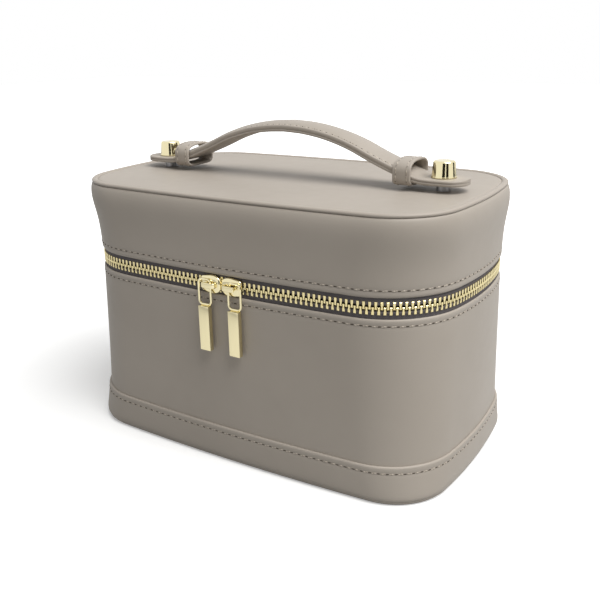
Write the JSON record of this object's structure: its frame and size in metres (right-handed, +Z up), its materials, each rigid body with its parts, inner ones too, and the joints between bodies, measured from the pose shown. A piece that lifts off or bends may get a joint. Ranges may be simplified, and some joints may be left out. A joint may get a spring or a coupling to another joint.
{
  "type": "makeup storage case",
  "caption": "Hard-sided vanity case in smooth leather: bowed body with a base band, zipped lid hinged at the back, twin sliders with bar pulls, padded strap handle.",
  "frame": {"origin": "under the middle of the base, on the surface the case stands on", "axes": "+X along the width to the viewer's right when facing the front, +Y from the front to the hinge at the back, +Z up"},
  "size_m": [0.2264, 0.1416, 0.1743],
  "materials": {
    "taupe_leather": "smooth, satin",
    "greyboard": "raw",
    "foam": "closed-cell foam",
    "lining_fabric": "short-nap microfibre",
    "zip_tape": "woven polyester",
    "gold_metal": "polished pale gold plating",
    "steel": "plain zinc"
  },
  "bodies": {
    "case": {"base_cover": "taupe_leather", "base_board": "greyboard", "base_band": "taupe_leather", "body_wrap": "taupe_leather", "body_foam": "foam", "body_wall_board": "greyboard", "body_lining": "lining_fabric", "floor_pad": "foam", "floor_lining": "lining_fabric", "lower_zip_tape": "zip_tape", "lower_zip_teeth": "gold_metal", "hinge_leather": "taupe_leather"},
    "lid": {"lid_wrap": "taupe_leather", "lid_foam": "foam", "lid_wall_board": "greyboard", "lid_wall_lining": "lining_fabric", "lid_top_board": "greyboard", "lid_top_foam": "foam", "lid_top_leather": "taupe_leather", "lid_welt": "taupe_leather", "lid_lining_pad": "foam", "lid_top_lining": "lining_fabric", "upper_zip_tape": "zip_tape", "upper_zip_teeth": "gold_metal", "handle_bottom": "taupe_leather", "handle_top": "taupe_leather", "handle_core": "foam", "left_keeper": "taupe_leather", "right_keeper": "taupe_leather", "left_knob": "gold_metal", "right_knob": "gold_metal", "left_screw": "steel", "right_screw": "steel", "screw_washers": "steel", "tab_collars": "steel"},
    "left_slider": {"left_slider": "gold_metal"},
    "right_slider": {"right_slider": "gold_metal"},
    "left_puller": {"left_puller": "gold_metal"},
    "right_puller": {"right_puller": "gold_metal"}
  },
  "joints": [
    {"name": "lid_hinge", "type": "hinge", "parent": "case", "child": "lid", "pos_m": [0, 0.0662, 0.09975], "axis": [-1, 0, 0], "range_deg": [0, 105], "deforming": ["hinge_leather", "upper_zip_tape", "upper_zip_teeth"]},
    {"name": "left_slider_travel", "type": "slide", "parent": "case", "child": "left_slider", "axis": [-0.9994, 0.0342, 0], "range_m": [0, 0.054], "deforming": ["lower_zip_tape", "lower_zip_teeth", "upper_zip_tape", "upper_zip_teeth"]},
    {"name": "right_slider_travel", "type": "slide", "parent": "case", "child": "right_slider", "axis": [0.9995, 0.0318, 0], "range_m": [0, 0.054], "deforming": ["lower_zip_tape", "lower_zip_teeth", "upper_zip_tape", "upper_zip_teeth"]},
    {"name": "left_puller_swing", "type": "hinge", "parent": "left_slider", "child": "left_puller", "pos_m": [-0.0104, -0.07005, 0.09975], "axis": [0, 1, 0], "range_deg": [0, 90]},
    {"name": "right_puller_swing", "type": "hinge", "parent": "right_slider", "child": "right_puller", "pos_m": [0.008, -0.07005, 0.09975], "axis": [0, -1, 0], "range_deg": [0, 90]}
  ]
}
